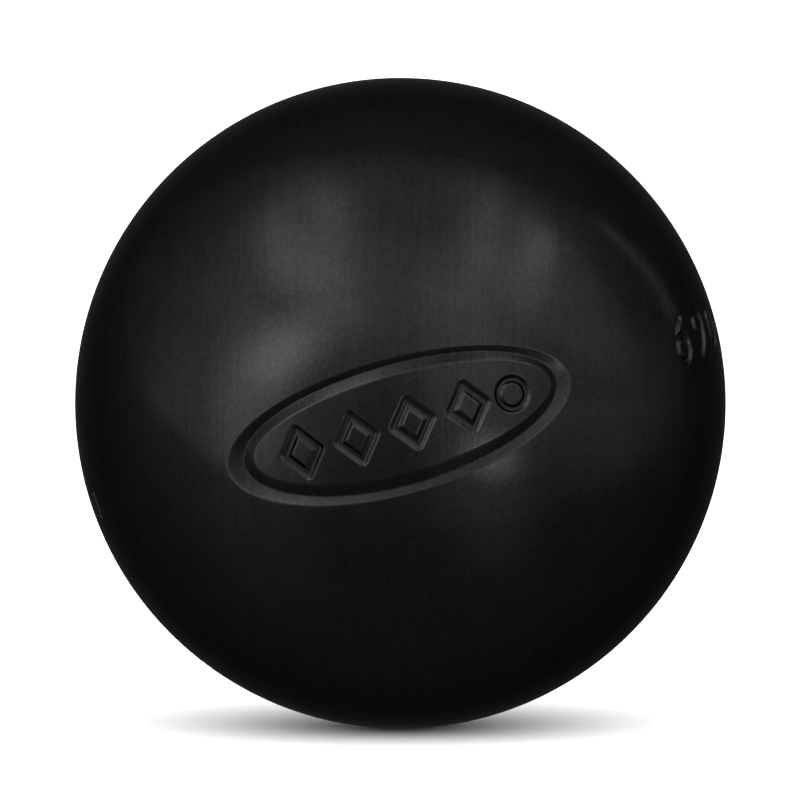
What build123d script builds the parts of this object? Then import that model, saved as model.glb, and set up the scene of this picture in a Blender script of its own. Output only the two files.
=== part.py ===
from build123d import *
import math
import os

# A steel boule: two forged half shells, bevelled at the rim, joined by a root run and a cap run of weld,
# then turned to one true sphere and marked. Millimetres. Origin at the centre of the ball, Z up as it lies,
# the oval frame faces -Y.

os.makedirs("parts", exist_ok=True)

# Overall sizes
ball_diameter = 71.0
wall = 6.71

# The belt of marks is a great circle, tilted about Y as the ball lies
belt_tilt = 15.5

# Weld preparation, the same all round the rim
seam_turn = -45.0  # belt angle of the pole of the front half shell
root_gap = 1.0
root_face = 1.5
bevel_angle = 30.0
root_run_height = 2.6
root_bead_rise = 1.0
root_bead_width = 4.2

# Oval frame: a V groove round a panel left at the height of the ball (half length, half height)
oval_outer_edge = (18.9, 7.26)
oval_floor = (17.5, 6.55)
oval_inner_edge = (16.44, 5.25)
oval_groove_depth = 0.55
oval_steps = 48

# Row of lozenges inside the oval, and the ring after them
lozenge_count = 4
lozenge_pitch = 6.25
lozenge_width = 5.6
lozenge_height = 6.9
ring_diameter = 4.2
ring_gap = 0.2
ring_stroke = 1.0
motif_shift = -1.75
motif_stroke = 1.3
motif_depth = 0.35

# Numbers stamped along the belt: the size to the left of the oval, the weight to the right
size_figure_height = 4.2
size_figure_pitch = 4.2
size_number_turn = -80.3
size_number_rise = -1.0
weight_figure_height = 5.6
weight_figure_pitch = 5.3
weight_number_turn = 71.0
weight_number_rise = -0.4
figure_stroke = 1.0
figure_depth = 0.35

# Derived sizes
outer_radius = ball_diameter / 2
inner_radius = outer_radius - wall
tilt = math.radians(belt_tilt)
bevel_run = math.tan(math.radians(bevel_angle))
root_top = inner_radius + root_face
run_top = inner_radius + root_run_height
cutter_rise = 1.0  # how far the cutters stand out of the ball
stamp_reach = 2.0  # how deep a stamp is drawn before its floor is rounded to the ball


def belt_normal(turn):
    # outward direction at a belt angle, 0 facing -Y and growing to the right
    a = math.radians(turn)
    return Vector(math.sin(a) * math.cos(tilt), -math.cos(a), math.sin(a) * math.sin(tilt))


def belt_plane(turn, radius):
    # plane touching the ball on the belt, x along the belt, z outward
    a = math.radians(turn)
    along = Vector(math.cos(a) * math.cos(tilt), math.sin(a), math.cos(a) * math.sin(tilt))
    return Plane(origin=belt_normal(turn) * radius, x_dir=along, z_dir=belt_normal(turn))


def on_sphere(radius, across):
    # distance along the weld axis of a point of a sphere at this distance from that axis
    return math.sqrt(radius**2 - across**2)


# Section plane: x runs out from the weld axis, y runs along it towards the pole of the front half shell
weld_axis_direction = belt_normal(seam_turn)
belt_axis = Vector(-math.sin(tilt), 0, math.cos(tilt))
section = Plane(
    origin=(0, 0, 0),
    x_dir=belt_axis,
    z_dir=belt_axis.cross(weld_axis_direction),
)
weld_axis = Axis((0, 0, 0), weld_axis_direction)

# Where the bevel leaves the ball: solve for the bevel line on the outer sphere
half_gap = root_gap / 2
line_a = 1 + bevel_run**2
line_b = 2 * bevel_run * (half_gap - bevel_run * root_top)
line_c = (half_gap - bevel_run * root_top) ** 2 - outer_radius**2
rim_across = (-line_b + math.sqrt(line_b**2 - 4 * line_a * line_c)) / (2 * line_a)
rim_along = half_gap + bevel_run * (rim_across - root_top)
run_along = half_gap + bevel_run * (run_top - root_top)
root_across = on_sphere(inner_radius, half_gap)
bead_along = root_bead_width / 2
bead_across = on_sphere(inner_radius, bead_along)
diagonal = math.sqrt(0.5)

# Front half shell, plain
with BuildPart() as front_blank:
    with BuildSketch(section):
        with BuildLine():
            inner_arc = ThreePointArc(
                (0, inner_radius),
                (inner_radius * diagonal, inner_radius * diagonal),
                (root_across, half_gap),
            )
            Line(inner_arc @ 1, (root_top, half_gap))
            Line((root_top, half_gap), (rim_across, rim_along))
            ThreePointArc(
                (rim_across, rim_along),
                (outer_radius * diagonal, outer_radius * diagonal),
                (0, outer_radius),
            )
            Line((0, outer_radius), (0, inner_radius))
        make_face()
    revolve(axis=weld_axis)

# Rear half shell, plain: the same forging turned round
with BuildPart() as rear_blank:
    add(front_blank.part.mirror(Plane(origin=(0, 0, 0), z_dir=weld_axis_direction)))

# Root run: closes the gap and stands proud inside
with BuildPart() as weld_root_run:
    with BuildSketch(section):
        with BuildLine():
            Polyline(
                (root_across, half_gap),
                (root_top, half_gap),
                (run_top, run_along),
                (run_top, -run_along),
                (root_top, -half_gap),
                (root_across, -half_gap),
            )
            ThreePointArc(
                (root_across, -half_gap),
                (on_sphere(inner_radius, bead_along / 2), -bead_along / 2),
                (bead_across, -bead_along),
            )
            ThreePointArc(
                (bead_across, -bead_along),
                (inner_radius - root_bead_rise, 0),
                (bead_across, bead_along),
            )
            ThreePointArc(
                (bead_across, bead_along),
                (on_sphere(inner_radius, bead_along / 2), bead_along / 2),
                (root_across, half_gap),
            )
        make_face()
    revolve(axis=weld_axis)

# Cap run: fills the bevels and is turned flush with the ball
with BuildPart() as weld_cap_run:
    with BuildSketch(section):
        with BuildLine():
            Polyline(
                (rim_across, -rim_along),
                (run_top, -run_along),
                (run_top, run_along),
                (rim_across, rim_along),
            )
            ThreePointArc(
                (rim_across, rim_along),
                (outer_radius, 0),
                (rim_across, -rim_along),
            )
        make_face()
    revolve(axis=weld_axis)

# Oval frame cutter: a V carried round an oval on the ball, always pointing at the centre
oval_plane = belt_plane(0, 0)
top_growth = (oval_groove_depth + cutter_rise) / oval_groove_depth


def oval_points(edge, growth, radius):
    # points of an oval line at this radius, grown from the floor line through the edge line
    points = []
    for step in range(oval_steps):
        a = 2 * math.pi * step / oval_steps
        half_length = oval_floor[0] + growth * (edge[0] - oval_floor[0])
        half_height = oval_floor[1] + growth * (edge[1] - oval_floor[1])
        across = half_length * math.cos(a)
        up = half_height * math.sin(a)
        out = math.sqrt(outer_radius**2 - across**2 - up**2)
        spot = oval_plane.from_local_coords(Vector(across, up, out))
        points.append(spot * (radius / outer_radius))
    return points


top_radius = outer_radius + cutter_rise
with BuildPart() as oval_cutter:
    with BuildLine(mode=Mode.PRIVATE) as floor_line:
        Spline(*oval_points(oval_floor, 0, outer_radius - oval_groove_depth), periodic=True)
    with BuildLine(mode=Mode.PRIVATE) as outer_line:
        Spline(*oval_points(oval_outer_edge, top_growth, top_radius), periodic=True)
    with BuildLine(mode=Mode.PRIVATE) as inner_line:
        Spline(*oval_points(oval_inner_edge, top_growth, top_radius), periodic=True)
    outer_side = Face.make_surface_from_curves(floor_line.edge(), outer_line.edge())
    top_side = Face.make_surface_from_curves(outer_line.edge(), inner_line.edge())
    inner_side = Face.make_surface_from_curves(inner_line.edge(), floor_line.edge())
    add(Solid(Shell([outer_side, top_side, inner_side])))

# Motif cutter: lozenge outlines in a row, each square to the ball where it stands, and a ring
degrees_per_length = 180 / (math.pi * outer_radius)
lozenge_turns = [
    (motif_shift + lozenge_pitch * (i - (lozenge_count - 1) / 2)) * degrees_per_length
    for i in range(lozenge_count)
]
row_end = motif_shift + lozenge_pitch * (lozenge_count - 1) / 2 + lozenge_width / 2
ring_turn = (row_end + ring_gap + ring_diameter / 2) * degrees_per_length
stroke_ratio = 1 - 2 * motif_stroke / (lozenge_width * lozenge_height) * math.hypot(
    lozenge_width, lozenge_height
)
with BuildPart() as motif_cutter:
    for turn in lozenge_turns:
        with BuildSketch(belt_plane(turn, outer_radius + cutter_rise)):
            with BuildLine():
                Polyline(
                    (-lozenge_width / 2, 0),
                    (0, -lozenge_height / 2),
                    (lozenge_width / 2, 0),
                    (0, lozenge_height / 2),
                    close=True,
                )
            make_face()
            with BuildLine():
                Polyline(
                    (-lozenge_width / 2 * stroke_ratio, 0),
                    (0, -lozenge_height / 2 * stroke_ratio),
                    (lozenge_width / 2 * stroke_ratio, 0),
                    (0, lozenge_height / 2 * stroke_ratio),
                    close=True,
                )
            make_face(mode=Mode.SUBTRACT)
        extrude(amount=-stamp_reach)
    with BuildSketch(belt_plane(ring_turn, outer_radius + cutter_rise)):
        Circle(ring_diameter / 2)
        Circle(ring_diameter / 2 - ring_stroke, mode=Mode.SUBTRACT)
    extrude(amount=-stamp_reach)
    Sphere(outer_radius - motif_depth, mode=Mode.SUBTRACT)


def seven(size):
    with BuildLine() as stroke:
        Polyline(
            (-size * 0.3, size / 2),
            (size * 0.3, size / 2),
            (-size * 0.08, -size / 2),
        )
    trace(stroke.line, line_width=figure_stroke)


def one(size):
    with BuildLine() as stroke:
        Polyline((-size * 0.22, size * 0.3), (0, size / 2), (0, -size / 2))
    trace(stroke.line, line_width=figure_stroke)


def zero(size):
    Ellipse(size * 0.3 + figure_stroke / 2, size / 2 + figure_stroke / 2)
    Ellipse(
        size * 0.3 - figure_stroke / 2, size / 2 - figure_stroke / 2, mode=Mode.SUBTRACT
    )


def six(size):
    with Locations((0, -size * 0.2)):
        Circle(size * 0.3 + figure_stroke / 2)
        Circle(size * 0.3 - figure_stroke / 2, mode=Mode.SUBTRACT)
    with BuildLine() as stroke:
        ThreePointArc(
            (-size * 0.3, -size * 0.2), (-size * 0.13, size * 0.25), (size * 0.18, size / 2)
        )
    trace(stroke.line, line_width=figure_stroke)


def nine(size):
    with Locations((0, size * 0.2)):
        Circle(size * 0.3 + figure_stroke / 2)
        Circle(size * 0.3 - figure_stroke / 2, mode=Mode.SUBTRACT)
    with BuildLine() as stroke:
        ThreePointArc(
            (size * 0.3, size * 0.2), (size * 0.13, -size * 0.25), (-size * 0.18, -size / 2)
        )
    trace(stroke.line, line_width=figure_stroke)


# Size number cutter: the diameter in millimetres
size_body = size_figure_height - figure_stroke
with BuildPart() as size_cutter:
    with BuildSketch(belt_plane(size_number_turn, outer_radius + cutter_rise)):
        with Locations((-size_figure_pitch / 2, size_number_rise)):
            seven(size_body)
        with Locations((size_figure_pitch / 2, size_number_rise)):
            one(size_body)
    extrude(amount=-stamp_reach)
    Sphere(outer_radius - figure_depth, mode=Mode.SUBTRACT)

# Weight number cutter: the mass in grams
weight_body = weight_figure_height - figure_stroke
with BuildPart() as weight_cutter:
    with BuildSketch(belt_plane(weight_number_turn, outer_radius + cutter_rise)):
        with Locations((-weight_figure_pitch, weight_number_rise)):
            six(weight_body)
        with Locations((0, weight_number_rise)):
            nine(weight_body)
        with Locations((weight_figure_pitch, weight_number_rise)):
            zero(weight_body)
    extrude(amount=-stamp_reach)
    Sphere(outer_radius - figure_depth, mode=Mode.SUBTRACT)

# The marked half shells
with BuildPart() as front_half_shell:
    add(front_blank.part)
    add(oval_cutter.part, mode=Mode.SUBTRACT)
    add(motif_cutter.part, mode=Mode.SUBTRACT)
    add(size_cutter.part, mode=Mode.SUBTRACT)

with BuildPart() as rear_half_shell:
    add(rear_blank.part)
    add(weight_cutter.part, mode=Mode.SUBTRACT)

front_half_shell.part.label = "front_half_shell"
rear_half_shell.part.label = "rear_half_shell"
weld_root_run.part.label = "weld_root_run"
weld_cap_run.part.label = "weld_cap_run"

export_step(front_half_shell.part, "parts/front_half_shell.step")
export_step(rear_half_shell.part, "parts/rear_half_shell.step")
export_step(weld_root_run.part, "parts/weld_root_run.step")
export_step(weld_cap_run.part, "parts/weld_cap_run.step")

total = sum(
    piece.part.volume
    for piece in (front_half_shell, rear_half_shell, weld_root_run, weld_cap_run)
)
print("steel volume", round(total), "mm3, mass", round(total * 7.85e-6, 4), "kg")
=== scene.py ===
import bpy
import math
import numpy as np
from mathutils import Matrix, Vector


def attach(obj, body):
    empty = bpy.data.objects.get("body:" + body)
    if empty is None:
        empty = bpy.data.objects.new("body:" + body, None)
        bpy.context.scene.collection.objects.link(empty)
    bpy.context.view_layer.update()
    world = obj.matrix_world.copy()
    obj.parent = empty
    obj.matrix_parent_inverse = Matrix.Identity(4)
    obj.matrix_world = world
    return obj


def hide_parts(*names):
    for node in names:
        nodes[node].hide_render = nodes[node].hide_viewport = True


# A blackened steel boule on a white table. The ball's centre is the origin, Z is up and the oval frame
# faces -Y. Sizes are in millimetres and become metres when a mesh is made.

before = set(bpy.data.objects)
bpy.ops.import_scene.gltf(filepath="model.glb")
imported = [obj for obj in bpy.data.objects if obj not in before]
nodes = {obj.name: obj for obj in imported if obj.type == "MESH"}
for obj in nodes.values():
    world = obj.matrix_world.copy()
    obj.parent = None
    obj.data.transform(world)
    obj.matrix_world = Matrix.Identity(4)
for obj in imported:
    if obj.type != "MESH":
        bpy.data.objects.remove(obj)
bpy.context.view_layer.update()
milli = 0.001

ball = {
    "radius": 35.5,
    "wall": 6.71,
    "beltTilt": 15.5,  # degrees, right side up
    "rings": 90,  # mesh rings from pole to rim of each half shell
    "innerRings": 45,
}

radius = ball["radius"]
innerRadius = radius - ball["wall"]
tilt = math.radians(ball["beltTilt"])
beltAlong = np.array([math.cos(tilt), 0, math.sin(tilt)])
beltUp = np.array([-math.sin(tilt), 0, math.cos(tilt)])
towardOval = np.array([0, -1.0, 0])


def beltNormal(turn):
    a = math.radians(turn)
    return math.sin(a) * beltAlong + math.cos(a) * towardOval


def beltTangent(turn):
    a = math.radians(turn)
    return math.cos(a) * beltAlong - math.sin(a) * towardOval


# Marks: a stroke is a belt angle, a line of points on the plane that touches the ball there, half the
# stroke's width and its wall


def roundLine(centre, halfWidth, halfHeight, count):
    angles = np.linspace(0, 2 * math.pi, count)
    return np.column_stack(
        [centre[0] + halfWidth * np.cos(angles), centre[1] + halfHeight * np.sin(angles)]
    )


def bentLine(start, middle, end, count=16):
    # arc through three points
    a, b, c = (np.array(p, float) for p in (start, middle, end))
    d = 2 * (a[0] * (b[1] - c[1]) + b[0] * (c[1] - a[1]) + c[0] * (a[1] - b[1]))
    sa, sb, sc = a @ a, b @ b, c @ c
    centre = np.array(
        [
            (sa * (b[1] - c[1]) + sb * (c[1] - a[1]) + sc * (a[1] - b[1])) / d,
            (sa * (c[0] - b[0]) + sb * (a[0] - c[0]) + sc * (b[0] - a[0])) / d,
        ]
    )
    first, mid, last = (math.atan2(*(p - centre)[::-1]) for p in (a, b, c))
    fullTurn = 2 * math.pi
    sweep = (last - first) % fullTurn
    if (mid - first) % fullTurn > sweep:
        sweep -= fullTurn
    angles = first + np.linspace(0, sweep, count)
    reach = np.linalg.norm(a - centre)
    return centre + reach * np.column_stack([np.cos(angles), np.sin(angles)])


# the size in millimetres and the weight in grams, stamped along the belt
sizeFigures = {"turn": -80.3, "rise": -1.0, "height": 4.2, "pitch": 4.2, "stroke": 1.0, "wall": 0.55}
weightFigures = {"turn": 71.0, "rise": -0.4, "height": 5.6, "pitch": 5.3, "stroke": 1.0, "wall": 0.55}


def figureLines(figure, size):
    half = size / 2
    if figure == "7":
        return [np.array([(-0.3 * size, half), (0.3 * size, half), (-0.08 * size, -half)])]
    if figure == "1":
        return [np.array([(-0.22 * size, 0.3 * size), (0, half), (0, -half)])]
    if figure == "0":
        return [roundLine((0, 0), 0.3 * size, half, 48)]
    six = [
        roundLine((0, -0.2 * size), 0.3 * size, 0.3 * size, 40),
        bentLine((-0.3 * size, -0.2 * size), (-0.13 * size, 0.25 * size), (0.18 * size, half)),
    ]
    return six if figure == "6" else [-line for line in six]


def placeFigures(text, spec):
    body = spec["height"] - spec["stroke"]
    strokes = []
    for i, figure in enumerate(text):
        across = (i - (len(text) - 1) / 2) * spec["pitch"]
        for line in figureLines(figure, body):
            moved = line + (across, spec["rise"])
            strokes.append((spec["turn"], moved, spec["stroke"] / 2, spec["wall"]))
    return strokes


lozenges = {
    "count": 4,
    "pitch": 6.25,
    "width": 5.6,
    "height": 6.9,
    "shift": -1.75,
    "stroke": 1.3,
    "ringDiameter": 4.2,
    "ringGap": 0.2,
    "ringStroke": 1.0,
    "wall": 0.72,  # share of half the stroke, the rest is floor
}


def placeMotif(spec):
    perLength = 180 / (math.pi * radius)
    strokes = []
    shrink = 1 - spec["stroke"] / (spec["width"] * spec["height"]) * math.hypot(
        spec["width"], spec["height"]
    )
    a, b = spec["width"] / 2 * shrink, spec["height"] / 2 * shrink
    for i in range(spec["count"]):
        turn = (spec["shift"] + spec["pitch"] * (i - (spec["count"] - 1) / 2)) * perLength
        line = np.array([(-a, 0), (0, -b), (a, 0), (0, b), (-a, 0)])
        strokes.append((turn, line, spec["stroke"] / 2, spec["wall"]))
    rowEnd = spec["shift"] + spec["pitch"] * (spec["count"] - 1) / 2 + spec["width"] / 2
    turn = (rowEnd + spec["ringGap"] + spec["ringDiameter"] / 2) * perLength
    ringRadius = spec["ringDiameter"] / 2 - spec["ringStroke"] / 2
    ring = roundLine((0, 0), ringRadius, ringRadius, 48)
    strokes.append((turn, ring, spec["ringStroke"] / 2, spec["wall"]))
    return strokes


frontStrokes = placeMotif(lozenges) + placeFigures("71", sizeFigures)
rearStrokes = placeFigures("690", weightFigures)


oval = {
    "outer": (18.9, 7.26, -0.15, 0.0),  # half length, half height, shift along, shift up
    "floor": (17.5, 6.55, 0.0, 0.12),
    "inner": (16.44, 5.25, 0.2, 0.25),
    "depth": 0.5,
    "edgeRound": 0.1,
    "floorRound": 0.07,
    "wallWidth": 0.9,  # of one side of the groove, on average
}

stamp = {
    "depth": 0.36,
    "edgeRound": 0.22,  # as shares of the wall's width
    "floorRound": 0.25,
}


def softRelu(x, h):
    # zero below -h, x above h, a parabola between
    return np.where(x > h, x, np.where(x < -h, 0.0, (x + h) ** 2 / (4 * h)))


def softAbs(x, h):
    return np.sqrt(x * x + h * h) - h * 0.6


def ovalSide(points):
    # place across the oval groove: -1 at the inner edge, 0 on the floor, 1 at the outer edge
    u, v = points @ beltAlong * radius, points @ beltUp * radius
    side = np.zeros(len(points))
    floorShape = oval["floor"]
    level = ((u - floorShape[2]) / floorShape[0]) ** 2 + ((v - floorShape[3]) / floorShape[1]) ** 2
    for name, sign, chosen in (("outer", 1, level >= 1), ("inner", -1, level < 1)):
        shape = oval[name]
        x, y = u[chosen], v[chosen]

        def gap(t):
            size = [floorShape[k] + t * (shape[k] - floorShape[k]) for k in range(4)]
            halfLength, halfHeight = np.maximum(size[0], 0.05), np.maximum(size[1], 0.05)
            return ((x - size[2]) / halfLength) ** 2 + ((y - size[3]) / halfHeight) ** 2 - 1

        low, high = np.zeros(chosen.sum()), np.full(chosen.sum(), 4.0)
        for _ in range(22):  # halving
            mid = (low + high) / 2
            outside = gap(mid) > 0 if sign > 0 else gap(mid) < 0
            low, high = np.where(outside, mid, low), np.where(outside, high, mid)
        side[chosen] = sign * (low + high) / 2
    return side


def strokeDistance(points, stroke):
    turn, line = stroke[:2]
    x, y = points @ beltTangent(turn) * radius, points @ beltUp * radius
    best = np.full(len(points), 1e9)
    for (x0, y0), (x1, y1) in zip(line[:-1], line[1:]):
        dx, dy = x1 - x0, y1 - y0
        t = np.clip(((x - x0) * dx + (y - y0) * dy) / (dx * dx + dy * dy), 0, 1)
        best = np.minimum(best, np.hypot(x - x0 - t * dx, y - y0 - t * dy))
    return best


detail = {
    "fine": 0.15,  # longest edge on a mark
    "coarse": 0.9,
    "growth": 0.3,  # how fast edges may lengthen away from a mark
    "margin": 0.15,
    "wornAndHighlightWidth": 0.2,  # of the lighter line along a mark's edge, partly wear and partly a painted highlight
    "ovalReach": 22,  # no part of the groove is further from its middle
    "strokeReach": 9,  # and no part of a stroke further from the place of its figure
    "lookAround": 5,  # how far outside these the mesh begins to grow finer
    "slopeStep": 0.012,  # over which the slope of a wall is measured
}


def near(points, turn, reach):
    return points @ beltNormal(turn) > math.cos(reach / radius)


def trench(part, wall):
    # a stamped stroke's section: 0 at the edge, where part is 1, then the wall, and 1 on the floor
    rise = softRelu((1 - part) / wall, stamp["edgeRound"])
    return 1 - softRelu(1 - rise, stamp["floorRound"])


def depthAt(points, strokes, withOval):
    depth = np.zeros(len(points))
    if withOval:
        chosen = near(points, 0, detail["ovalReach"])
        side = ovalSide(points[chosen])
        shape = softRelu(1 - softAbs(side, oval["floorRound"]), oval["edgeRound"])
        depth[chosen] = oval["depth"] * shape
    for stroke in strokes:
        chosen = near(points, stroke[0], detail["strokeReach"])
        shape = trench(strokeDistance(points[chosen], stroke) / stroke[2], stroke[3])
        depth[chosen] = np.maximum(depth[chosen], stamp["depth"] * shape)
    return depth


def edgeDistance(points, strokes, withOval):
    # rough distance to the edge of the nearest mark, in millimetres, below zero inside the mark
    distance = np.full(len(points), 99.0)
    if withOval:
        chosen = near(points, 0, detail["ovalReach"] + detail["lookAround"])
        distance[chosen] = (np.abs(ovalSide(points[chosen])) - 1) * oval["wallWidth"]
    for stroke in strokes:
        chosen = near(points, stroke[0], detail["strokeReach"] + detail["lookAround"])
        toStroke = strokeDistance(points[chosen], stroke) - stroke[2]
        distance[chosen] = np.minimum(distance[chosen], toStroke)
    return distance


# Meshes


def axisFrame(pole):
    pole = pole / np.linalg.norm(pole)
    side = beltUp
    return pole, side, np.cross(pole, side)


def ringedDome(pole, rings, reach):
    # unit directions and triangles of a dome round a pole: ring k has 4k points
    pole, side, across = axisFrame(pole)
    points, starts = [pole[None]], [0]
    count = 1
    for k in range(1, rings + 1):
        polar = reach * k / rings
        a = np.linspace(0, 2 * math.pi, 4 * k, endpoint=False)
        ring = math.cos(polar) * pole + math.sin(polar) * (
            np.cos(a)[:, None] * side + np.sin(a)[:, None] * across
        )
        points.append(ring)
        starts.append(count)
        count += 4 * k
    faces = []
    for k in range(rings):
        inner, outer = 4 * k, 4 * (k + 1)
        for sector in range(4):
            i = np.arange(k + 1)
            a = starts[k] + (sector * k + i) % max(inner, 1)
            b = starts[k + 1] + (sector * (k + 1) + i) % outer
            c = starts[k + 1] + (sector * (k + 1) + i + 1) % outer
            faces.append(np.column_stack([a, b, c]))
            if k:
                i = np.arange(k)
                a = starts[k] + (sector * k + i) % inner
                b = starts[k + 1] + (sector * (k + 1) + i + 1) % outer
                c = starts[k] + (sector * k + i + 1) % inner
                faces.append(np.column_stack([a, b, c]))
    return np.concatenate(points), np.concatenate(faces), starts[rings]


def splitLongEdges(points, faces, targetAt, rounds=14):
    # halves long edges, always a triangle's longest first, until none is longer than its target
    for _ in range(rounds):
        pairs = np.sort(np.concatenate([faces[:, [0, 1]], faces[:, [1, 2]], faces[:, [2, 0]]]), 1)
        edges, inverse = np.unique(pairs, axis=0, return_inverse=True)
        inverse = inverse.reshape(3, -1).T  # edge opposite vertex 2, 0, 1
        span = points[edges[:, 1]] - points[edges[:, 0]]
        length = np.linalg.norm(span, axis=1) * radius
        middle = points[edges[:, 0]] + points[edges[:, 1]]
        middle /= np.linalg.norm(middle, axis=1)[:, None]
        marked = length > targetAt(middle)
        if not marked.any():
            break
        longest = np.argmax(length[inverse], axis=1)
        ownLongest = inverse[np.arange(len(faces)), longest]
        while True:
            needs = marked[inverse].any(1) & ~marked[ownLongest]
            if not needs.any():
                break
            marked[ownLongest[needs]] = True
        fresh = np.full(len(edges), -1)
        fresh[marked] = len(points) + np.arange(marked.sum())
        points = np.concatenate([points, middle[marked]])
        rolled = np.stack([np.roll(faces, -s, axis=1) for s in range(3)])
        rolledEdges = np.stack([np.roll(inverse, -s, axis=1) for s in range(3)])
        tri = rolled[longest, np.arange(len(faces))]
        side = fresh[rolledEdges[longest, np.arange(len(faces))]]
        v0, v1, v2 = tri.T
        m0, m1, m2 = side.T
        keep = m0 < 0
        first = (m0 >= 0) & (m2 < 0)
        firstSplit = (m0 >= 0) & (m2 >= 0)
        second = (m0 >= 0) & (m1 < 0)
        secondSplit = (m0 >= 0) & (m1 >= 0)
        pieces = [
            (first, v0, m0, v2),
            (firstSplit, v0, m0, m2),
            (firstSplit, m0, v2, m2),
            (second, m0, v1, v2),
            (secondSplit, m0, v1, m1),
            (secondSplit, m0, m1, v2),
        ]
        split = [np.column_stack([corner[mask] for corner in corners]) for mask, *corners in pieces]
        faces = np.concatenate([tri[keep], *split])
    return points, faces


def surfaceNormals(points, strokes, withOval):
    step = detail["slopeStep"] / radius
    helper = np.where(np.abs(points[:, 2:]) < 0.8, [[0, 0, 1.0]], [[1.0, 0, 0]])
    a = np.cross(points, helper)
    a /= np.linalg.norm(a, axis=1)[:, None]
    b = np.cross(points, a)
    slopes = []
    for t in (a, b):
        plus, minus = points + t * step, points - t * step
        plus /= np.linalg.norm(plus, axis=1)[:, None]
        minus /= np.linalg.norm(minus, axis=1)[:, None]
        slopes.append(
            (depthAt(minus, strokes, withOval) - depthAt(plus, strokes, withOval)) / (2 * step)
        )
    reach = radius - depthAt(points, strokes, withOval)
    normals = points * reach[:, None] - a * slopes[0][:, None] - b * slopes[1][:, None]
    return normals / np.linalg.norm(normals, axis=1)[:, None]


def makePiece(name, points, faces, cornerNormals, uv, marks, insideFrom):
    mesh = bpy.data.meshes.new(name)
    mesh.vertices.add(len(points))
    mesh.vertices.foreach_set("co", (points * milli).astype(np.float32).ravel())
    mesh.loops.add(faces.size)
    mesh.loops.foreach_set("vertex_index", faces.astype(np.int32).ravel())
    mesh.polygons.add(len(faces))
    mesh.polygons.foreach_set("loop_start", np.arange(0, faces.size, 3, dtype=np.int32))
    mesh.update()
    mesh.polygons.foreach_set("use_smooth", np.ones(len(faces), bool))
    for key, values in marks.items():
        layer = mesh.attributes.new(key, "FLOAT", "POINT")
        layer.data.foreach_set("value", values.astype(np.float32))
    layer = mesh.uv_layers.new(name="OFBake")
    layer.data.foreach_set("uv", uv.astype(np.float32).ravel())
    slots = (np.arange(len(faces)) >= insideFrom).astype(np.int32)
    mesh.materials.append(blackened)
    mesh.materials.append(bareInside)
    mesh.polygons.foreach_set("material_index", slots)
    mesh.normals_split_custom_set(cornerNormals.astype(np.float32).tolist())
    if mesh.validate():
        print("mesh", name, "was repaired")
    obj = bpy.data.objects.new(name, mesh)
    bpy.context.scene.collection.objects.link(obj)
    return obj


weld = {
    "poleTurn": -45.0,  # belt angle of the front half shell's pole
    "rootGap": 1.0,
    "rootFace": 1.5,
    "bevel": 30.0,
    "rootRunHeight": 2.6,
    "stripRows": 14,
    "stripShare": 0.6,  # of the bake map's height
    "sideShares": [0.76, 0.84, 1.0],
    "bakePieces": 12,
}

# The weld's section: across is the distance from the axis of the weld, along runs towards its pole
halfGap = weld["rootGap"] / 2
bevelCos, bevelSin = math.cos(math.radians(weld["bevel"])), math.sin(math.radians(weld["bevel"]))
bevelRun = math.tan(math.radians(weld["bevel"]))
rootTop = innerRadius + weld["rootFace"]
runTop = innerRadius + weld["rootRunHeight"]
lineShift = halfGap - bevelRun * rootTop
lineSquare = 1 + bevelRun**2
rimAcross = (
    -bevelRun * lineShift
    + math.sqrt((bevelRun * lineShift) ** 2 - lineSquare * (lineShift**2 - radius**2))
) / lineSquare
rimAlong = halfGap + bevelRun * (rimAcross - rootTop)
runAlong = halfGap + bevelRun * (runTop - rootTop)
rootAcross = math.sqrt(innerRadius**2 - halfGap**2)
weldPole = beltNormal(weld["poleTurn"])


def circle(pole, across, along, count):
    pole, side, other = axisFrame(pole)
    a = np.linspace(0, 2 * math.pi, count, endpoint=False)
    return along * pole + across * (np.cos(a)[:, None] * side + np.sin(a)[:, None] * other)


def band(first, second, count):
    i = np.arange(count)
    j = (i + 1) % count
    return np.concatenate(
        [
            np.column_stack([first + i, second + i, second + j]),
            np.column_stack([first + i, second + j, first + j]),
        ]
    )


def bandPlaces(count, pieces, top, bottom):
    # bake map of a band in the same order: the ring is cut into pieces that lie in two columns
    i = np.arange(count)
    length = count // pieces
    within, piece = i % length, i // length
    left = (piece % 2) * 0.5 + 0.01
    low = (piece // 2) * 2 / pieces

    def places(step, share):
        across = left + 0.48 * (within + step) / length
        return np.column_stack([across, low + (0.04 + 0.92 * share) * 2 / pieces])

    a, b, c, d = places(0, top), places(0, bottom), places(1, bottom), places(1, top)
    return np.concatenate([np.stack([a, b, c], 1), np.stack([a, c, d], 1)])


def diskPlaces(points, pole, middle, reach):
    # bake map of a dome or a ring round the pole, drawn as a disk
    pole, side, other = axisFrame(pole)
    turn = np.arctan2(points @ other, points @ side)
    return np.array(middle) + reach[:, None] * np.column_stack([np.cos(turn), np.sin(turn)])


def coneNormals(points, faces, pole, slopeAcross, slopeAlong):
    # normals of a surface of revolution whose section normal is (across, along)
    p = points[faces]
    out = p - (p @ pole)[..., None] * pole
    out /= np.linalg.norm(out, axis=2)[..., None]
    return out * slopeAcross + pole * slopeAlong


# Materials: short ways to add nodes, then a dictionary and a function for each finish


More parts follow.
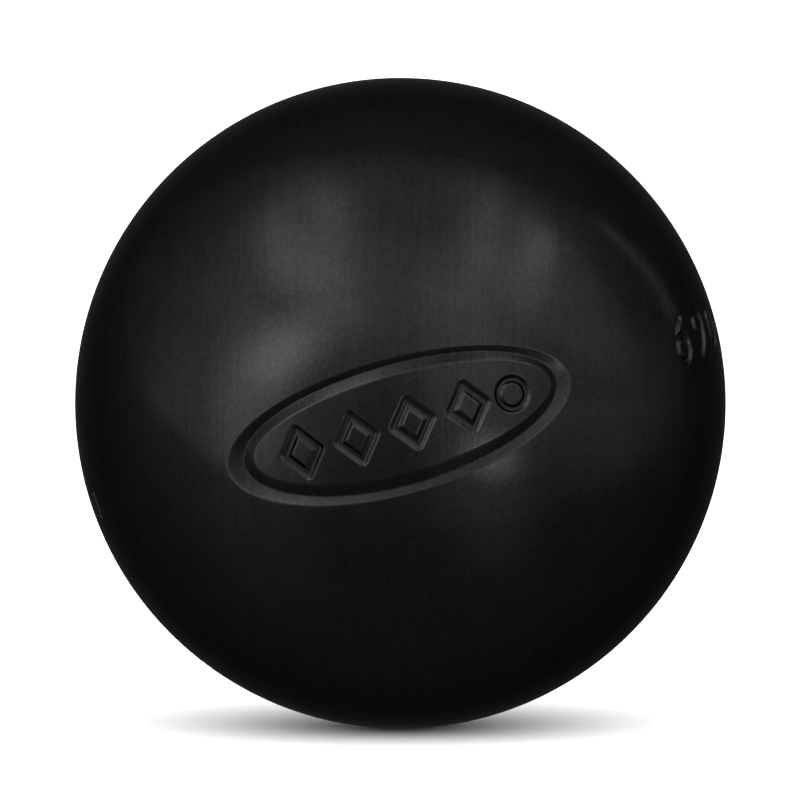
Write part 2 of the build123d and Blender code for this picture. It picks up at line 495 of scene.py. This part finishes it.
class Maker:
    def __init__(self, tree):
        self.nodes, self.links = tree.nodes, tree.links

    def put(self, socket, value):
        if isinstance(value, bpy.types.NodeSocket):
            self.links.new(value, socket)
        else:
            socket.default_value = value

    def node(self, kind, values=(), **settings):
        made = self.nodes.new(kind)
        for key, value in settings.items():
            setattr(made, key, value)
        for key, value in dict(values).items():
            self.put(made.inputs[key], value)
        return made

    def math(self, operation, first, second=0.0):
        made = self.node("ShaderNodeMath", operation=operation)
        self.put(made.inputs[0], first)
        self.put(made.inputs[1], second)
        return made.outputs[0]

    def add(self, *values):
        total = values[0]
        for value in values[1:]:
            total = self.math("ADD", total, value)
        return total

    def times(self, first, second):
        return self.math("MULTIPLY", first, second)

    def vector(self, operation, first, second=(0, 0, 0), output=0):
        made = self.node("ShaderNodeVectorMath", operation=operation)
        self.put(made.inputs[0], first)
        self.put(made.inputs[1], second)
        return made.outputs[output]

    def ramp(self, value, low, high, toLow=0.0, toHigh=1.0):
        made = self.node(
            "ShaderNodeMapRange",
            {"Value": value, "From Min": low, "From Max": high, "To Min": toLow, "To Max": toHigh},
            interpolation_type="SMOOTHSTEP",
        )
        return made.outputs["Result"]

    def place(self):
        # place on the ball, in millimetres
        return self.vector("MULTIPLY", self.node("ShaderNodeTexCoord").outputs["Object"], (1000,) * 3)

    def grain(self, place, size, detail=2.0, roughness=0.5):
        # noise from -0.5 to 0.5, size is in millimetres, one for each direction
        spread = self.vector("DIVIDE", place, size if isinstance(size, tuple) else (size,) * 3)
        made = self.node(
            "ShaderNodeTexNoise",
            {"Vector": spread, "Scale": 1.0, "Detail": detail, "Roughness": roughness},
        )
        return self.math("SUBTRACT", made.outputs[0], 0.5)

    def attribute(self, name):
        return self.node("ShaderNodeAttribute", attribute_name=name).outputs["Fac"]

    def colours(self, value, stops):
        made = self.node("ShaderNodeValToRGB", {"Fac": value})
        band = made.color_ramp
        while len(band.elements) < len(stops):
            band.elements.new(0.5)
        for element, (position, colour) in zip(band.elements, stops):
            element.position = position
            element.color = (*colour, 1)
        return made.outputs["Color"]


def newMaterial(name):
    material = bpy.data.materials.new(name)
    material.use_nodes = True
    return material, Maker(material.node_tree), material.node_tree.nodes["Principled BSDF"]


blackening = {
    "mirror": 0.05,  # how much light the finish returns
    "edgeMirror": 0.45,  # of what bare metal would return at a flat angle
    "roughness": 0.13,
    "groundLines": (0.4, 14.0, 14.0),  # their spacing and length, they run round the left-right axis
    "lineDepth": 0.007,
    "lineTone": 0.5,
    "linePatches": 17.0,
    "grainSize": 0.5,
    "grainDepth": 0.009,
    "grainTone": 0.65,
    "grainGloss": 0.05,
    "mottleSize": 5.0,
    "mottleTone": 0.35,
    "mottleGloss": 0.06,
    "wornEdgeHighlightTone": 0.3,  # the worn line along the marks, partly wear and partly a painted highlight on their rounded edges
    "recessPaintedShade": -0.15,  # painted shade on the floors of the marks
    "recessGloss": 0.1,
    "speckSpacing": 4.0,
    "speckSize": 0.09,
    "speckTone": 1.6,
    "speckGloss": 0.3,
}


def blackenedSteel():
    material, paint, shader = newMaterial("blackened_steel")
    place = paint.place()
    lines = paint.grain(place, blackening["groundLines"], 2.0, 0.6)
    grain = paint.grain(place, blackening["grainSize"], 2.0, 0.6)
    mottle = paint.grain(place, blackening["mottleSize"], 4.0, 0.6)
    # the ground lines show in patches
    patches = paint.ramp(paint.grain(place, blackening["linePatches"], 2.0), -0.12, 0.12, 0.3, 1.0)
    groundLines = paint.times(lines, patches)
    recess, edge = paint.attribute("recess"), paint.attribute("wornEdgeAndHighlight")
    cells = paint.node(
        "ShaderNodeTexVoronoi", {"Vector": place, "Scale": 1 / blackening["speckSpacing"]}
    )
    speckReach = blackening["speckSize"] / blackening["speckSpacing"]
    speck = paint.ramp(cells.outputs["Distance"], speckReach * 0.5, speckReach, 1.0, 0.0)
    tone = paint.add(
        1.0,
        paint.times(grain, blackening["grainTone"]),
        paint.times(groundLines, blackening["lineTone"]),
        paint.times(mottle, blackening["mottleTone"]),
        # lighter line along the marks' edges: partly wear, partly a painted highlight
        paint.times(edge, blackening["wornEdgeHighlightTone"]),
        # painted shade: the floors of the marks are darker
        paint.times(recess, blackening["recessPaintedShade"]),
        paint.times(speck, blackening["speckTone"]),
    )
    mirror = paint.times(tone, blackening["mirror"])
    shader.inputs["Metallic"].default_value = 1.0
    shader.inputs["Specular Tint"].default_value = (*(blackening["edgeMirror"],) * 3, 1)
    paint.put(shader.inputs["Base Color"], mirror)
    paint.put(
        shader.inputs["Roughness"],
        paint.add(
            blackening["roughness"],
            paint.times(mottle, blackening["mottleGloss"]),
            paint.times(grain, blackening["grainGloss"]),
            paint.times(recess, blackening["recessGloss"]),
            paint.times(speck, blackening["speckGloss"]),
        ),
    )
    height = paint.add(
        paint.times(groundLines, blackening["lineDepth"]),
        paint.times(grain, blackening["grainDepth"]),
    )
    bump = paint.node("ShaderNodeBump", {"Height": height, "Strength": 1.0, "Distance": milli})
    paint.put(shader.inputs["Normal"], bump.outputs["Normal"])
    return material


heat = {
    "tintWidth": 7.0,  # each side of the weld
    "tintWander": 3.0,  # size and reach of the uneven edges between the tints
    "scaleSize": 1.6,
    "scaleDepth": 0.03,
    "scaleTone": (0.85, 1.2),  # level and spread
    "roughness": (0.48, 0.5),
    "rippleSpacing": 0.9,
    "rippleDepth": 0.12,
    "rippleSlant": 1.5,
}


def bareSteel(name, rippled):
    # forge scale, with the colours of the weld's heat beside the seam
    material, paint, shader = newMaterial(name)
    place = paint.place()
    pole, side, other = (tuple(v) for v in axisFrame(weldPole))
    fromSeam = paint.math("ABSOLUTE", paint.vector("DOT_PRODUCT", place, pole, "Value"))
    wander = paint.times(paint.grain(place, heat["tintWander"], 3.0), heat["tintWander"])
    tint = paint.colours(
        paint.ramp(paint.add(fromSeam, wander), 0.0, heat["tintWidth"]),
        [
            (0.0, (0.42, 0.41, 0.40)),  # bright weld metal
            (0.25, (0.16, 0.19, 0.30)),  # blue
            (0.45, (0.24, 0.14, 0.20)),  # purple
            (0.65, (0.42, 0.30, 0.14)),  # straw
            (1.0, (0.26, 0.25, 0.24)),  # forge scale
        ],
    )
    scale = paint.grain(place, heat["scaleSize"], 5.0, 0.65)
    shader.inputs["Metallic"].default_value = 1.0
    level, spread = heat["scaleTone"]
    scaleTone = paint.add(level, paint.times(scale, spread))
    paint.put(shader.inputs["Base Color"], paint.vector("MULTIPLY", tint, scaleTone))
    level, spread = heat["roughness"]
    paint.put(shader.inputs["Roughness"], paint.add(level, paint.times(scale, spread)))
    height = paint.times(scale, heat["scaleDepth"])
    if rippled:
        turn = paint.math(
            "ARCTAN2",
            paint.vector("DOT_PRODUCT", place, other, "Value"),
            paint.vector("DOT_PRODUCT", place, side, "Value"),
        )
        count = round(2 * math.pi * innerRadius / heat["rippleSpacing"])
        slant = paint.times(fromSeam, heat["rippleSlant"])
        ripple = paint.math("SINE", paint.add(paint.times(turn, count), slant))
        height = paint.add(height, paint.times(ripple, heat["rippleDepth"] / 2))
    bump = paint.node("ShaderNodeBump", {"Height": height, "Strength": 1.0, "Distance": milli})
    paint.put(shader.inputs["Normal"], bump.outputs["Normal"])
    return material


blackened = blackenedSteel()
bareInside = bareSteel("forge_scale_inside", False)
bareWeld = bareSteel("bare_weld_steel", True)
weldRoot = nodes["weld_root_run"]
weldRoot.data.materials.clear()
weldRoot.data.materials.append(bareWeld)
print("materials made")


# Where a half shell's parts lie on its bake map: two disks, each with its middle and reach, and the
# radii between which the parts of the rim lie
shellMap = {
    "outside": ((0.42, 0.58), 0.4),
    "inside": ((0.89, 0.11), 0.07),
    "bevel": (0.1, 0.087),
    "rootFace": (0.083, 0.075),
}


def halfShell(name, pole, strokes, withOval):
    rings = ball["rings"]
    rimReach = math.acos(rimAlong / radius)
    dirs, faces, rimStart = ringedDome(pole, rings, rimReach)
    rim = 4 * rings

    def target(middle):
        away = np.maximum(edgeDistance(middle, strokes, withOval) - detail["margin"], 0)
        return np.minimum(detail["fine"] + detail["growth"] * away, detail["coarse"])

    dirs, faces = splitLongEdges(dirs, faces, target)
    count = len(dirs)
    depth = depthAt(dirs, strokes, withOval)
    outside = dirs * (radius - depth)[:, None]
    normals = surfaceNormals(dirs, strokes, withOval)
    # rim: bevel, root face, then the inside dome with half as many points round its edge
    corner = circle(pole, rootTop, halfGap, rim)
    lip = circle(pole, rootAcross, halfGap, rim)
    inner = ball["innerRings"]
    innerReach = math.acos(halfGap / innerRadius)
    domeDirs, domeFaces, domeRim = ringedDome(pole, inner, innerReach * (1 - 1 / (inner * 2)))
    dome = domeDirs * innerRadius
    cornerStart = count
    lipStart = cornerStart + rim
    domeStart = lipStart + rim
    points = np.concatenate([outside, corner, lip, dome])
    bevelFaces = band(rimStart, cornerStart, rim)
    faceFaces = band(cornerStart, lipStart, rim)
    half = rim // 2
    i = np.arange(half)
    a, b, c = lipStart + 2 * i, lipStart + (2 * i + 1) % rim, lipStart + (2 * i + 2) % rim
    d, e = domeStart + domeRim + i, domeStart + domeRim + (i + 1) % half
    joinFaces = np.concatenate(
        [np.column_stack([a, d, b]), np.column_stack([b, d, e]), np.column_stack([b, e, c])]
    )
    innerFaces = domeFaces[:, ::-1] + domeStart
    everyFace = np.concatenate([faces, bevelFaces, faceFaces, joinFaces, innerFaces])
    cornerNormals = np.concatenate(
        [
            normals[faces],
            coneNormals(points, bevelFaces, pole, bevelSin, -bevelCos),
            coneNormals(points, faceFaces, pole, 0, -1),
            -points[joinFaces] / np.linalg.norm(points[joinFaces], axis=2)[..., None],
            -points[innerFaces] / np.linalg.norm(points[innerFaces], axis=2)[..., None],
        ]
    ).reshape(-1, 3)
    # bake map: a large disk for the outside, and small rings round a small disk for the rest
    polar = np.arccos(np.clip(points @ pole / np.linalg.norm(points, axis=1), -1, 1))
    index = np.arange(len(points))
    (large, largeReach), (small, smallReach) = shellMap["outside"], shellMap["inside"]
    outsideMap = diskPlaces(points, pole, large, largeReach * polar / rimReach)
    bevelMap = diskPlaces(points, pole, small, np.where(index < count, *shellMap["bevel"]))
    rootMap = diskPlaces(points, pole, small, np.where(index < lipStart, *shellMap["rootFace"]))
    insideMap = diskPlaces(points, pole, small, smallReach * polar / innerReach)
    uv = np.concatenate(
        [
            outsideMap[faces],
            bevelMap[bevelFaces],
            rootMap[faceFaces],
            insideMap[joinFaces],
            insideMap[innerFaces],
        ]
    )
    # the lighter line along the marks' edges, partly wear and partly a painted highlight
    edge = np.abs(edgeDistance(dirs, strokes, withOval)) / detail["wornAndHighlightWidth"]
    unmarked = np.zeros(len(points) - count)
    marks = {
        "recess": np.concatenate([np.minimum(depth / stamp["depth"], 1), unmarked]),
        "wornEdgeAndHighlight": np.concatenate([np.maximum(1 - edge, 0), unmarked]),
    }
    print(name, "triangles", len(everyFace), "on the outside", len(faces))
    return makePiece(name, points, everyFace, cornerNormals, uv, marks, len(faces))


frontShell = halfShell("front_half_shell_visual", weldPole, frontStrokes, True)
rearShell = halfShell("rear_half_shell_visual", -weldPole, rearStrokes, False)


def capRing(name):
    rim = 4 * ball["rings"]
    rows = weld["stripRows"]
    edge = math.asin(rimAlong / radius)
    points = []
    for row in range(rows + 1):
        angle = edge * (1 - 2 * row / rows)
        points.append(circle(weldPole, radius * math.cos(angle), radius * math.sin(angle), rim))
    points.append(circle(weldPole, runTop, -runAlong, rim))
    points.append(circle(weldPole, runTop, runAlong, rim))
    points = np.concatenate(points)
    strip = np.concatenate([band(row * rim, (row + 1) * rim, rim) for row in range(rows)])
    lower = band(rows * rim, (rows + 1) * rim, rim)
    floorBand = band((rows + 1) * rim, (rows + 2) * rim, rim)
    upper = band((rows + 2) * rim, 0, rim)
    faces = np.concatenate([strip, lower, floorBand, upper])
    cornerNormals = np.concatenate(
        [
            points[strip] / np.linalg.norm(points[strip], axis=2)[..., None],
            coneNormals(points, lower, weldPole, -bevelSin, -bevelCos),
            coneNormals(points, floorBand, weldPole, -1, 0),
            coneNormals(points, upper, weldPole, -bevelSin, bevelCos),
        ]
    ).reshape(-1, 3)
    shares = [weld["stripShare"] * row / rows for row in range(rows + 1)] + weld["sideShares"]
    rowsOfMap = zip(shares[:-1], shares[1:])
    uv = np.concatenate([bandPlaces(rim, weld["bakePieces"], top, bottom) for top, bottom in rowsOfMap])
    marks = {"recess": np.zeros(len(points)), "wornEdgeAndHighlight": np.zeros(len(points))}
    print(name, "triangles", len(faces))
    return makePiece(name, points, faces, cornerNormals, uv, marks, len(strip))


capPiece = capRing("weld_cap_run_visual")

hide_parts("front_half_shell")
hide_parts("rear_half_shell")
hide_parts("weld_cap_run")
for piece, slotName in (
    (frontShell, "lacquered_steel"),
    (rearShell, "lacquered_steel"),
    (capPiece, "lacquered_weld_steel"),
):
    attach(piece, "root")
print("meshes made")

stage = {
    "viewLift": 4.0,  # degrees above the table
    "distance": 1.6,
    "ballShare": 0.8138,  # of the picture's width
    "pictureShift": (-0.0005, 0.004),
    "tableLight": 2.2,
    "fromFront": 0.7,  # how much more of the table's light comes from the viewer's side
}

lift = math.radians(stage["viewLift"])
viewDirection = Vector((0, -math.cos(lift), math.sin(lift)))
viewUp = Vector((0, math.sin(lift), math.cos(lift)))

floorMesh = bpy.data.meshes.new("table")
floorMesh.from_pydata([(-3, -3, 0), (3, -3, 0), (3, 3, 0), (-3, 3, 0)], [], [(0, 1, 2, 3)])
table = bpy.data.objects.new("table", floorMesh)
table.location.z = -radius * milli
bpy.context.scene.collection.objects.link(table)
white, _, whiteShader = newMaterial("white_table")
whiteShader.inputs["Base Color"].default_value = (0.9, 0.9, 0.9, 1)
whiteShader.inputs["Specular IOR Level"].default_value = 0.0
whiteShader.inputs["Roughness"].default_value = 1.0
floorMesh.materials.append(white)
table.visible_glossy = False

# Soft panels, placed where the ball mirrors them: right and up (1 is the ball's edge), half width,
# half height, turn in degrees, softness, brightness. The tent is the bright shape that holds most of them,
# and its hem shows as a thin line. The panels' values were found by a separate fitting program and rounded,
# not set by hand. Only the room's brightness was then changed.
tent = (0.0, 0.2, 0.86, 0.56, -8, 0.04, 0.03)
insideTent = {
    "left upper panel": (-0.29, 0.5, 0.13, 0.18, 10, 0.3, 0.19),
    "left upper streak": (-0.2, 0.58, 0.06, 0.09, 15, 1.0, 0.43),
    "left band": (-0.28, 0.39, 0.22, 0.1, -49, 0.5, 0.33),
    "left lower panel": (-0.45, 0.03, 0.2, 0.11, 85, 0.65, 0.56),
    "left lower lamp": (-0.35, 0.16, 0.07, 0.11, -53, 1.0, 1.15),
    "left wall": (-0.52, -0.09, 0.78, 0.3, 63, 0.35, 0.16),
    "front": (-0.05, 0.3, 0.6, 0.18, -8, 0.5, 0.15),
    "overhead": (0.02, 0.49, 0.56, 0.24, -7, 0.3, 0.13),
    "right upper streak": (0.25, 0.5, 0.05, 0.16, -15, 0.7, 0.28),
    "right upper panel": (0.43, 0.39, 0.35, 0.13, -48, 0.3, 0.17),
    "right upper lamp": (0.39, 0.43, 0.09, 0.14, 0, 0.4, 0.25),
    "right upper core": (0.42, 0.46, 0.04, 0.07, -7, 0.6, 0.36),
}
outsideTent = {
    "right lower panel": (0.23, 0.09, 0.14, 0.37, 5, 1.0, 0.35),
    "right lower lamp": (0.27, -0.16, 0.07, 0.05, -16, 1.0, 1.1),
    "right wall": (0.6, -0.03, 0.19, 0.16, 33, 1.0, 0.17),
    "left floor glow": (-0.54, -0.14, 0.15, 0.34, 28, 1.0, 0.12),
    "room": (-0.11, 0.34, 1.15, 1.3, -8, 1.0, 0.155),
}
hem = {"halfWidth": 0.035, "lit": (0.745, 0.42, 0.2, 0.1, -50, 0.3, 0.27)}
# the room falls darker straight behind the ball
behindBall = {"start": 0.945, "end": 1.0, "keep": 0.45}

world = bpy.data.worlds.new("studio")
bpy.context.scene.world = world
world.use_nodes = True
sky = Maker(world.node_tree)
direction = sky.node("ShaderNodeTexCoord").outputs["Generated"]
halfway = sky.vector("NORMALIZE", sky.vector("ADD", direction, viewDirection))
mirrorRight = sky.node("ShaderNodeSeparateXYZ", {0: halfway}).outputs[0]
mirrorUp = sky.vector("DOT_PRODUCT", halfway, viewUp, "Value")


def panelReach(shape):
    # 0 at the panel's middle, 1 at its edge
    right, up, halfWidth, halfHeight, turn = shape[:5]
    c, s = math.cos(math.radians(turn)), math.sin(math.radians(turn))
    x, y = sky.math("SUBTRACT", mirrorRight, right), sky.math("SUBTRACT", mirrorUp, up)
    along = sky.add(sky.times(x, c / halfWidth), sky.times(y, s / halfWidth))
    across = sky.add(sky.times(x, -s / halfHeight), sky.times(y, c / halfHeight))
    return sky.math("SQRT", sky.add(sky.times(along, along), sky.times(across, across)))


def panel(shape):
    soft, strength = shape[5:]
    return sky.ramp(panelReach(shape), 1 - soft, 1 + soft, strength, 0.0)


inside = sky.add(tent[6], *(panel(shape) for shape in insideTent.values()))
fromHem = sky.math("ABSOLUTE", sky.math("SUBTRACT", panelReach(tent), 1.0))
hemLine = sky.ramp(fromHem, 0.0, hem["halfWidth"], 1.0, 0.0)
light = sky.add(
    sky.times(inside, panel(tent[:6] + (1.0,))),
    sky.times(hemLine, panel(hem["lit"])),
    *(panel(shape) for shape in outsideTent.values()),
)
middleSquare = sky.add(sky.times(mirrorRight, mirrorRight), sky.times(mirrorUp, mirrorUp))
fromMiddle = sky.math("SQRT", middleSquare)
dimming = sky.ramp(fromMiddle, behindBall["start"], behindBall["end"], 1.0, behindBall["keep"])
light = sky.times(light, dimming)

rays = sky.node("ShaderNodeLightPath")
mirrored = sky.node("ShaderNodeBackground", {"Strength": light})
towardBack = sky.node("ShaderNodeSeparateXYZ", {0: direction}).outputs[1]
tableLight = sky.times(stage["tableLight"], sky.add(1.0, sky.times(towardBack, -stage["fromFront"])))
whiteWall = sky.times(rays.outputs["Is Camera Ray"], stage["tableLight"])
backdrop = sky.node("ShaderNodeBackground", {"Strength": sky.math("MAXIMUM", tableLight, whiteWall)})
chosen = sky.node("ShaderNodeMixShader", {0: rays.outputs["Is Glossy Ray"]})
sky.links.new(backdrop.outputs[0], chosen.inputs[1])
sky.links.new(mirrored.outputs[0], chosen.inputs[2])
sky.links.new(chosen.outputs[0], world.node_tree.nodes["World Output"].inputs["Surface"])
for background in (mirrored, backdrop):
    background.inputs["Color"].default_value = (1, 1, 1, 1)

camera = bpy.data.objects.new("camera", bpy.data.cameras.new("camera"))
bpy.context.scene.collection.objects.link(camera)
camera.location = viewDirection * stage["distance"]
camera.rotation_euler = (math.pi / 2 - lift, 0, 0)
halfSpan = math.tan(math.asin(radius * milli / stage["distance"])) / stage["ballShare"]
camera.data.lens = camera.data.sensor_width / (2 * halfSpan)
camera.data.shift_x, camera.data.shift_y = stage["pictureShift"]
bpy.context.scene.camera = camera
bpy.context.scene.view_settings.view_transform = "Standard"
bpy.context.scene.view_settings.look = "None"

print("stage set")
